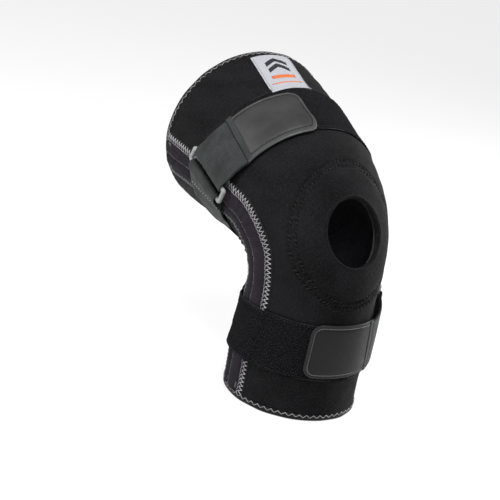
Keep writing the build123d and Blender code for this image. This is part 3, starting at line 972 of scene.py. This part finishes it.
class Strap:
    """Where one strap's ring, webbing and tab lie, as the CAD model has them."""

    def __init__(self, side, ring_low, ring_high, seam_low, seam_high, tab, droop):
        self.side = side
        self.ring_rows = np.array([ring_low, ring_high])
        self.seam_rows = np.array([seam_low, seam_high])
        self.tab_low, self.tab_high, self.tab_tip = tab
        self.droop = droop
        low = bare(ring_low[0], side * ring_low[1], RING_HEIGHT)
        high = bare(ring_high[0], side * ring_high[1], RING_HEIGHT)
        self.middle = (ring_low[0] + ring_high[0]) / 2
        self.seam_middle = (seam_low[0] + seam_high[0]) / 2
        angle = side * (ring_low[1] + ring_high[1]) / 2
        rise = bare(self.middle, angle, 10) - bare(self.middle, angle, 0)
        self.bar_axis = unit(high - low)
        self.outwards = unit(rise - self.bar_axis * (rise @ self.bar_axis))
        self.backwards = np.cross(self.outwards, self.bar_axis) * -side
        self.centre = (low + high) / 2
        self.front_bar = self.centre - self.backwards * (BAR_SPACING / 2)
        self.rear_bar = self.centre + self.backwards * (BAR_SPACING / 2)
        turned = math.radians(ring_low[1] - ring_high[1]) * profile(self.middle, 1)
        self.lean = turned / (ring_high[0] - ring_low[0])

    def rings(self, s):
        """Angle of the ring's middle line, carried on straight past its ends."""
        (s0, a0), (s1, a1) = self.ring_rows
        return a0 + (a1 - a0) * (s - s0) / (s1 - s0)

    def seams(self, s):
        (s0, a0), (s1, a1) = self.seam_rows
        return a0 + (a1 - a0) * (s - s0) / (s1 - s0)

    def drooped(self, s, theta):
        """s moved down towards the tab's tip, where the strap is worn askew."""
        share = np.clip((self.seams(s) - theta) / (self.seams(s) - self.tab_tip), 0, 1)
        up = (s - self.tab_low) / (self.tab_high - self.tab_low)
        return s - share * (self.droop[0] + (self.droop[1] - self.droop[0]) * up)

    def ring_angle(self, s, behind):
        angle = self.rings(s - behind * self.lean)
        return angle + np.degrees(behind / (profile(s, 1) + RING_HEIGHT))

    def near_bar(self, bar, across, behind, height):
        """Millimetre points in the ring's own frame, measured from one bar."""
        return (
            bar
            + across[..., None] * self.bar_axis
            + behind[..., None] * self.backwards
            + height[..., None] * self.outwards
        )


UPPER = Strap(
    -1, (192.4, 96.3), (241.4, 87.3), (187.7, 64.0), (233.5, 57.5), (186.5, 232.0, 8.0), (1.0, 5.5)
)
LOWER = Strap(
    1, (54.4, 92.0), (103.4, 84.0), (43.0, 39.0), (91.0, 33.0), (43.0, 91.0, -28.0), (2.0, 1.5)
)
HALF_WEB = 23.4
WEB_PLAY = 1.4


def ribbon(name, centre, uv, thickness, material, flip=False):
    """Webbing of even thickness whose middle runs through a grid of millimetre points."""
    run = np.gradient(centre, axis=1)
    across = np.gradient(centre, axis=0)
    normal = np.cross(run, across)
    normal /= np.linalg.norm(normal, axis=2, keepdims=True)
    width = np.linalg.norm(centre[-1, 0] - centre[0, 0])
    distance = uv[..., 1] - uv[0, 0, 1]
    full = roundness(distance, width, 0.5)
    ends = np.ones(centre.shape[1])
    ends[[0, -1]] = 0
    half = thickness / 2 * (full * ends[None, :])[..., None]
    top, bottom = centre + normal * half, centre - normal * half
    if flip:
        top, bottom = bottom, top
    return shell(name, top / 1000, bottom / 1000, uv, material)


def path_lengths(centre):
    middle = centre[centre.shape[0] // 2]
    return np.concatenate([[0], np.cumsum(np.linalg.norm(np.diff(middle, axis=0), axis=1))])


def loop_points(strap, bar, across, ahead):
    """Half turn of webbing round a bar, from its outer side to its inner side."""
    turn = np.linspace(0, math.pi, 17)
    behind = ahead * LOOP_RADIUS * np.sin(turn)
    height = LOOP_RADIUS * np.cos(turn)
    grid = np.broadcast_arrays(across[:, None], behind[None, :], height[None, :])
    return strap.near_bar(bar, *grid)


def tab_webbing(strap, name):
    """Doubled webbing: from the tab's seam, round the front bar and back under itself."""
    across = steps_across(2 * HALF_WEB, 1.0, 0.5) - HALF_WEB - WEB_PLAY
    share = np.linspace(0, 1, 40)
    w, t = np.meshgrid(across, share, indexing="ij")
    s = strap.seam_middle + (strap.middle - strap.seam_middle) * t + w * (0.96 + 0.04 * t)
    start = strap.seams(s) + spread(0.2, s)
    end = strap.ring_angle(s, -BAR_SPACING / 2)
    theta = start + (end - start) * t
    to_bar = (1 - t) * np.radians(end - start) * (profile(s, 1) + RING_HEIGHT)
    fade = 1 - step(0, 11, to_bar)
    middle = 3.7 + (RING_HEIGHT - 3.7) * t
    grip = 1 - step(0, 8, to_bar)

    def layer(sign):
        height = middle + sign * (0.66 + (LOOP_RADIUS - 0.66) * fade)
        on_leg = bare(s, strap.side * theta, height)
        by_bar = strap.near_bar(strap.front_bar, w, -to_bar, sign * LOOP_RADIUS + 0 * w)
        return on_leg * (1 - grip[..., None]) + by_bar * grip[..., None]

    loop = loop_points(strap, strap.front_bar, across, 1.0)
    centre = np.concatenate([layer(1.0), loop[:, 1:-1], layer(-1.0)[:, ::-1]], axis=1)
    lengths = path_lengths(centre)
    uv = np.stack(np.broadcast_arrays(lengths[None, :], across[:, None]), axis=-1)
    return ribbon(name, centre, uv, WEBBING, GREY_WEB, flip=strap.side < 0)


def behind_ring(strap, first, last, count, settle, sign):
    """Grid of points on webbing behind the ring, from a distance behind the rear bar to an
    angle. sign is 1 or -1 for the outer or inner side of the loop, and 0 for between."""
    across = steps_across(2 * HALF_WEB, 1.0, 0.5) - HALF_WEB
    w, t = np.meshgrid(across, np.linspace(0, 1, count) ** 1.15, indexing="ij")
    bar = strap.ring_angle(strap.middle + w, BAR_SPACING / 2)
    radius = profile(strap.middle, 1) + 3
    start = bar + np.degrees(first / radius)
    theta = start + (last - start) * t
    length = np.radians(theta - bar) * radius
    s = strap.middle + w + (settle - strap.middle) * step(0, 45, length)
    rest = 0.9 + strip_lift(s, theta)
    share = np.clip((theta - bar) / 20.0, 0, 1)
    ramp = rest + (RING_HEIGHT - rest) * (1 + np.cos(np.pi * share)) / 2
    fade = 1 - step(0, 13, length)
    height = ramp + sign * (LOOP_RADIUS * fade + 1.25 * (1 - fade))
    worn = skin(s, strap.side * theta) * step(8, 30, length)
    on_leg = bare(s, strap.side * theta, height + worn)
    by_bar = strap.near_bar(strap.rear_bar, w, length, sign * LOOP_RADIUS + 0 * w)
    grip = (1 - step(0, 9, length))[..., None]
    return on_leg * (1 - grip) + by_bar * grip, across


def anchor_loop(strap, name, settle):
    """Short fold of webbing that holds the rear bar and is sewn over the anchor's end."""
    end = strap.ring_angle(strap.middle, BAR_SPACING / 2) + 13.5
    over, across = behind_ring(strap, 0.0, end, 24, settle, 1.0)
    under, _ = behind_ring(strap, 0.0, end, 24, settle, -1.0)
    loop = loop_points(strap, strap.rear_bar, across, -1.0)
    centre = np.concatenate([over[:, ::-1], loop[:, 1:-1], under], axis=1)
    uv = np.stack(np.broadcast_arrays(path_lengths(centre)[None, :], across[:, None]), axis=-1)
    return ribbon(name, centre, uv, WEBBING, GREY_WEB, flip=strap.side > 0), over


def anchor_webbing(strap, name, end, settle):
    """Webbing from inside the loop, round the back of the leg, to its sewn end."""
    centre, across = behind_ring(strap, 4.5, end, int(end - 80), settle, 0.0)
    lengths = path_lengths(centre)
    uv = np.stack(np.broadcast_arrays(lengths[None, :], across[:, None]), axis=-1)
    piece = ribbon(name, centre, uv, WEBBING, GREY_WEB, flip=strap.side < 0)
    return piece, centre, lengths[-1] / 1000


def across_stitches(name, centre, column, outwards):
    """Slanted stitches sewn across a ribbon at one column of its grid."""
    line = centre[2:-2, column]
    normal = np.cross(np.gradient(centre, axis=1), np.gradient(centre, axis=0))[2:-2, column]
    normal = normal / np.linalg.norm(normal, axis=1, keepdims=True)
    normal = normal * np.sign(np.sum(normal * outwards, axis=1, keepdims=True))
    fine = np.linspace(0, len(line) - 1, 400)
    grid = np.arange(len(line))
    points = np.stack([np.interp(fine, grid, line[:, k]) for k in range(3)], axis=1)
    normals = np.stack([np.interp(fine, grid, normal[:, k]) for k in range(3)], axis=1)
    points = (points + normals * (WEBBING / 2 + 0.05)) / 1000
    return stitches(name, points, normals, 3.9, 2.2, WHITE_THREAD, 0.3, "slanted")


def outward_at(strap, points):
    """Directions away from the middle of the leg at a strap's places."""
    return points - bare(strap.middle, 0, -profile(strap.middle, 2))


# ---- tabs -----------------------------------------------------------------------------------
BORDER = 3.0
TAB_CORNER = 10.0
ROOT_BINDING = 4.4
ROOT_STITCH = 4.6


def tab_grid(strap, inset, spacing=0.8, edge=0.9):
    """Places over a tab, with its free corners rounded: s, theta, and distances in."""
    low, high = strap.tab_low + inset, strap.tab_high - inset
    width = high - low
    across = steps_across(width, spacing, edge)
    middle = (low + high) / 2
    radius = profile(middle, 1) + 3.0
    length = math.radians(abs(strap.seams(middle) - strap.tab_tip)) * radius - 2 * inset
    along = steps_across(length, spacing, edge)
    across, along = np.meshgrid(across, along, indexing="ij")
    corner = TAB_CORNER - inset
    near = np.clip(np.minimum(across, width - across), 0, corner)
    trim = corner - np.sqrt(corner**2 - (corner - near) ** 2)
    share = along / length
    s = low + across
    inset_angle = np.degrees(inset / radius)
    root = strap.seams(s) - inset_angle
    tip = strap.tab_tip + inset_angle + np.degrees(trim / radius)
    theta = root + (tip - root) * share
    row_length = np.radians(root - tip) * radius
    from_side = np.minimum(across, width - across)
    from_tip = (1 - share) * row_length
    from_root = share * row_length
    corner_x = corner - from_side
    corner_y = corner - (from_tip + trim)
    in_corner = (corner_x > 0) & (corner_y > 0)
    from_edge = np.minimum(np.minimum(from_side, from_tip + trim), from_root)
    from_edge = np.where(in_corner, corner - np.hypot(corner_x, corner_y), from_edge)
    uv = np.stack([share * length, across], axis=-1)
    return strap.drooped(s, theta), strap.side * theta, np.maximum(from_edge, 0), uv


def tab(strap, name, material, rim):
    """Padded tab with a flat sewn border."""
    s, theta, from_edge, uv = tab_grid(strap, 0.0)
    bottom, top = 2.8, 4.55
    middle = (bottom + top) / 2
    full = np.sqrt(np.maximum(1 - (1 - np.clip(from_edge / 0.9, 0, 1)) ** 2, 0))
    groove = -0.42 * np.exp(-(((from_edge - BORDER) / 0.7) ** 2))
    dip = 0.12 * step(0, BORDER, from_edge) * (1 - step(BORDER, BORDER + 1.5, from_edge))
    pillow = 0.18 * step(BORDER + 0.3, BORDER + 5, from_edge) - dip
    uneven = 0.10 * waves(uv[..., 0], uv[..., 1], 24, 17)
    swell = ((top - bottom) / 2) * full
    up = bare(s, theta, middle + swell + (groove + pillow + uneven) * full) / 1000
    down = bare(s, theta, middle - swell) / 1000
    border = (from_edge[:-1, :-1] + from_edge[1:, 1:]) / 2 < BORDER
    if strap.side < 0:
        up, down, uv, border = up[:, ::-1], down[:, ::-1], uv[:, ::-1], border[:, ::-1]
    return shell(name, up[::-1], down[::-1], uv[::-1], material, rim, zone=border[::-1])


def tab_outline(strap, inset, height):
    """Path round a tab, inset from its edge, starting and ending at its seam."""
    low, high = strap.tab_low + inset, strap.tab_high - inset
    radius = profile((low + high) / 2, 1) + 3.0
    corner = TAB_CORNER - inset
    tip = strap.tab_tip + np.degrees(inset / radius)
    turn = np.linspace(0, math.pi / 2, 20)
    bend = np.degrees(corner / radius)
    s = np.concatenate([
        np.full(160, low),
        low + corner * (1 - np.cos(turn)),
        np.linspace(low + corner, high - corner, 80),
        high - corner * (1 - np.sin(turn)),
        np.full(160, high),
    ])
    theta = np.concatenate([
        np.linspace(strap.seams(low) - ROOT_STITCH, tip + bend, 160),
        tip + bend * (1 - np.sin(turn)),
        np.full(80, tip),
        tip + bend * (1 - np.cos(turn)),
        np.linspace(tip + bend, strap.seams(high) - ROOT_STITCH, 160),
    ])
    root_s = np.linspace(high, low, 120)
    s = np.concatenate([s, root_s])
    theta = np.concatenate([theta, strap.seams(root_s) - ROOT_STITCH])
    s = strap.drooped(s, theta)
    points = bare(s, strap.side * theta, height) / 1000
    return points, bare(s, strap.side * theta, 1) - bare(s, strap.side * theta, 0)


def root_binding(strap, name):
    """Strip of webbing folded over the tab's sewn end."""
    width = strap.seam_rows[1, 0] - strap.seam_rows[0, 0]
    across, over = np.meshgrid(
        steps_across(width, 1.0, 0.4), steps_across(ROOT_BINDING + 0.5, 0.6, 0.4), indexing="ij"
    )
    s = strap.seam_rows[0, 0] + across
    theta = strap.seams(s) - spread(over + 0.2, s)
    full = roundness(across, width, 0.4) * roundness(over, ROOT_BINDING + 0.5, 0.4)
    s = strap.drooped(s, theta)
    up = bare(s, strap.side * theta, 4.75 + 0.35 * full) / 1000
    down = bare(s, strap.side * theta, 4.75 - 0.35 * full) / 1000
    uv = np.stack([over, across], axis=-1)
    if strap.side < 0:
        up, down, uv = up[:, ::-1], down[:, ::-1], uv[:, ::-1]
    return shell(name, up[::-1], down[::-1], uv[::-1], GREY_WEB)


def hook_patch(strap, name):
    s, theta, from_edge, uv = tab_grid(strap, 4.0, 1.2, 0.4)
    full = np.sqrt(np.maximum(1 - (1 - np.clip(from_edge / 0.4, 0, 1)) ** 2, 0))
    rng = np.random.default_rng(23)
    bristle = 0.08 * rng.uniform(-1, 0, s.shape) * full
    up = bare(s, theta, 2.25 + 0.4 * full) / 1000
    down = bare(s, theta, 2.25 - 0.4 * full + bristle) / 1000
    if strap.side < 0:
        up, down, uv = up[:, ::-1], down[:, ::-1], uv[:, ::-1]
    return shell(name, up[::-1], down[::-1], uv[::-1], HOOK)


# The lower tab gets the vinyl and rim darkened as painted shade, and the thread lightened as a
# painted highlight.
for strap, word, base, vinyl, rim, thread, end, settle in (
    (UPPER, "upper", "thigh", UPPER_VINYL, UPPER_RIM, TAB_THREAD, 264.0, 220.5),
    (LOWER, "lower", "calf", LOWER_VINYL_PAINTED_SHADE, LOWER_RIM_PAINTED_SHADE, THREAD_PAINTED_HIGHLIGHT, 209.0, 69.5),
):
    web = tab_webbing(strap, f"{word}_tab_web")
    on_body(web, f"{word}_webbing_body", "grey_webbing", f"{word}_tab_webbing")
    loop, over = anchor_loop(strap, f"{word}_anchor_loop", settle)
    on_body(loop, base, "grey_webbing")
    anchor, along, reach = anchor_webbing(strap, f"{word}_anchor_web", end, settle)
    on_knee(anchor, "grey_webbing", f"{word}_anchor_webbing")
    sewn = across_stitches(f"{word}_loop_thread", over, -5, outward_at(strap, over[2:-2, -5]))
    on_body(sewn, base, "grey_webbing")
    sewn = across_stitches(f"{word}_anchor_thread", along, -4, outward_at(strap, along[2:-2, -4]))
    on_knee(sewn, "grey_webbing")
    flap = tab(strap, f"{word}_tab_pad", vinyl, rim)
    on_body(flap, f"{word}_tab_body", "tab_vinyl", f"{word}_tab")
    points, normals = tab_outline(strap, BORDER, 4.3)
    dashes = stitches(f"{word}_tab_thread", points, normals, 2.3, 0, thread, 0.3, "dash")
    on_body(dashes, f"{word}_tab_body", "tab_vinyl")
    on_body(root_binding(strap, f"{word}_root_binding"), f"{word}_tab_body", "grey_webbing")
    hooks = hook_patch(strap, f"{word}_hook_tape")
    on_body(hooks, f"{word}_tab_body", "hook_tape", f"{word}_hook_patch")

# ---- label ------------------------------------------------------------------------------------
# Corners (s, theta): low left, low right, high right, high left; it is sewn on askew.
LABEL_CORNERS = np.array([(234.0, -22.0), (238.0, 8.8), (298.2, 12.6), (293.6, -17.2)])
LABEL_SIZE = (40.0, 60.0)


def on_label(across, upwards):
    """Place at shares across and up the label."""
    weights = np.stack([
        (1 - across) * (1 - upwards), across * (1 - upwards), across * upwards,
        (1 - across) * upwards,
    ], axis=-1)
    at = weights @ LABEL_CORNERS
    return at[..., 0], at[..., 1]


def over_band(s):
    return 1.35 * (1 - step(236.8, 240.5, s))


def label_patch():
    width, height = LABEL_SIZE
    y, x = np.meshgrid(
        steps_across(height, 1.2, 0.3), steps_across(width, 1.2, 0.3), indexing="ij"
    )
    s, theta = on_label(x / width, y / height)
    full = roundness(y, height, 0.3) * roundness(x, width, 0.3)
    up = place(s, theta, 0.4 + over_band(s) + 0.3 * full)
    down = place(s, theta, 0.4 + over_band(s) - 0.3 * full)
    return shell("label", up, down, np.stack([x, y], axis=-1), LABEL)


def printed(name, corners, material):
    """Thin printed shape on the label: four (across share, up share) corners."""
    corners = np.array(corners, float)
    v, u = np.meshgrid(np.linspace(0, 1, 12), np.linspace(0, 1, 12), indexing="ij")
    weights = np.stack([(1 - u) * (1 - v), u * (1 - v), u * v, (1 - u) * v], axis=-1)
    at = weights @ corners
    s, theta = on_label(at[..., 0], at[..., 1])
    lift = over_band(s)
    return shell(
        name, place(s, theta, 0.78 + lift), place(s, theta, 0.66 + lift), at * LABEL_SIZE, material
    )


label = on_knee(label_patch(), "label_weave", "label_patch")
for number, base in enumerate((0.50, 0.66)):
    for side in (-1, 1):
        foot, peak = 0.5 + side * 0.27, 0.5
        corners = [(foot, base), (peak, base + 0.12), (peak, base + 0.22), (foot, base + 0.10)]
        if side > 0:
            corners = corners[::-1]
        mark = printed(f"label_chevron_{number}_{'left' if side < 0 else 'right'}", corners, INK)
        on_knee(mark, "label_weave")
for name, (left, right, low, high) in (
    ("label_bar", (0.2, 0.8, 0.33, 0.41)), ("label_rule", (0.12, 0.88, 0.20, 0.225)),
):
    corners = [(left, low), (right, low), (right, high), (left, high)]
    on_knee(printed(name, corners, ORANGE), "label_weave")
for name, across in (("left", 0.04), ("right", 0.96)):
    s, theta = on_label(np.full(400, across), np.linspace(0.03, 0.97, 400))
    path = on_sleeve(s, theta, 0.76 + over_band(s))
    thread = stitches(f"label_{name}_thread", *path, 2.6, 0, GREY_THREAD, 0.2, "dash")
    on_knee(thread, "label_weave")

# ---- CAD pieces kept, with better materials ------------------------------------------------
for node, material in (
    ("upper_ring", RING), ("lower_ring", RING), ("calf_stay_caps", CAP), ("thigh_stay_caps", CAP),
):
    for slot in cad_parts[node].material_slots:
        slot.material = material

# ---- camera, floor and light ----------------------------------------------------------------
AIM = Vector((0.0, 0.020, 0.150))
AZIMUTH, ELEVATION, ROLL = (math.radians(a) for a in (-34.7, 16.7, 12.3))
DISTANCE = 1.1153
FOCAL = 93.6

backwards = Vector((
    math.sin(AZIMUTH) * math.cos(ELEVATION),
    -math.cos(AZIMUTH) * math.cos(ELEVATION),
    math.sin(ELEVATION),
))
forwards = -backwards
level = forwards.cross(Vector((0, 0, 1))).normalized()
upright = level.cross(forwards)
right = math.cos(ROLL) * level + math.sin(ROLL) * upright
up = -math.sin(ROLL) * level + math.cos(ROLL) * upright
forwards = (forwards - 0.04715 * right - 0.02108 * up).normalized()
right = (right - forwards * right.dot(forwards)).normalized()
up = right.cross(forwards)
camera = bpy.data.objects.new("camera", bpy.data.cameras.new("camera"))
camera.data.lens = FOCAL
camera.data.sensor_width = 36.0
camera.data.clip_end = 50.0
camera.matrix_world = Matrix.Translation(AIM + backwards * DISTANCE) @ Matrix(
    (right, up, -forwards)
).transposed().to_4x4()
bpy.context.scene.collection.objects.link(camera)
bpy.context.scene.camera = camera


def plain(name, shade, rough):
    material = bpy.data.materials.new(name)
    material.use_nodes = True
    shader = material.node_tree.nodes["Principled BSDF"]
    shader.inputs["Base Color"].default_value = (*shade, 1)
    shader.inputs["Roughness"].default_value = rough
    return material


floor_mesh = bpy.data.meshes.new("floor")
floor_mesh.from_pydata([(-6, -6, 0), (6, -6, 0), (6, 6, 0), (-6, 6, 0)], [], [(0, 1, 2, 3)])
paint = plain("floor_paint", (0.22, 0.22, 0.22), 0.9)
paint.node_tree.nodes["Principled BSDF"].inputs["Emission Color"].default_value = (1, 1, 1, 1)
paint.node_tree.nodes["Principled BSDF"].inputs["Emission Strength"].default_value = 0.8
floor_mesh.materials.append(paint)
floor = bpy.data.objects.new("floor", floor_mesh)
floor.location.z = -0.0006
bpy.context.scene.collection.objects.link(floor)


def soft_light(name, place_at, aim, size, power, tint=(1, 1, 1)):
    light = bpy.data.lights.new(name, "AREA")
    light.shape = "RECTANGLE"
    light.size, light.size_y = size
    light.energy = power
    light.color = tint
    lamp = bpy.data.objects.new(name, light)
    lamp.location = place_at
    lamp.rotation_euler = (Vector(aim) - Vector(place_at)).to_track_quat("-Z", "Y").to_euler()
    bpy.context.scene.collection.objects.link(lamp)


MIDDLE = (0.0, 0.05, 0.15)
soft_light("left_strip", (-1.4, 0.7, 0.5), MIDDLE, (0.4, 1.6), 17)
soft_light("right_strip", (1.25, 0.1, 0.5), MIDDLE, (0.35, 1.4), 20)
soft_light("top_box", (-0.3, -0.4, 1.3), (0.0, 0.05, 0.3), (0.6, 0.6), 20)
soft_light("front_fill", (-0.9, -1.5, 1.2), MIDDLE, (0.7, 0.7), 6)

world = bpy.data.worlds.new("studio")
world.use_nodes = True
nodes, links = world.node_tree.nodes, world.node_tree.links
seen = nodes.new("ShaderNodeBackground")
seen.inputs["Color"].default_value = (1, 1, 1, 1)
nodes["Background"].inputs["Color"].default_value = (1, 1, 1, 1)
nodes["Background"].inputs["Strength"].default_value = 0.14
mix = nodes.new("ShaderNodeMixShader")
links.new(nodes.new("ShaderNodeLightPath").outputs["Is Camera Ray"], mix.inputs[0])
links.new(nodes["Background"].outputs[0], mix.inputs[1])
links.new(seen.outputs[0], mix.inputs[2])
links.new(mix.outputs[0], nodes["World Output"].inputs["Surface"])
bpy.context.scene.world = world
bpy.context.scene.view_settings.view_transform = "Standard"
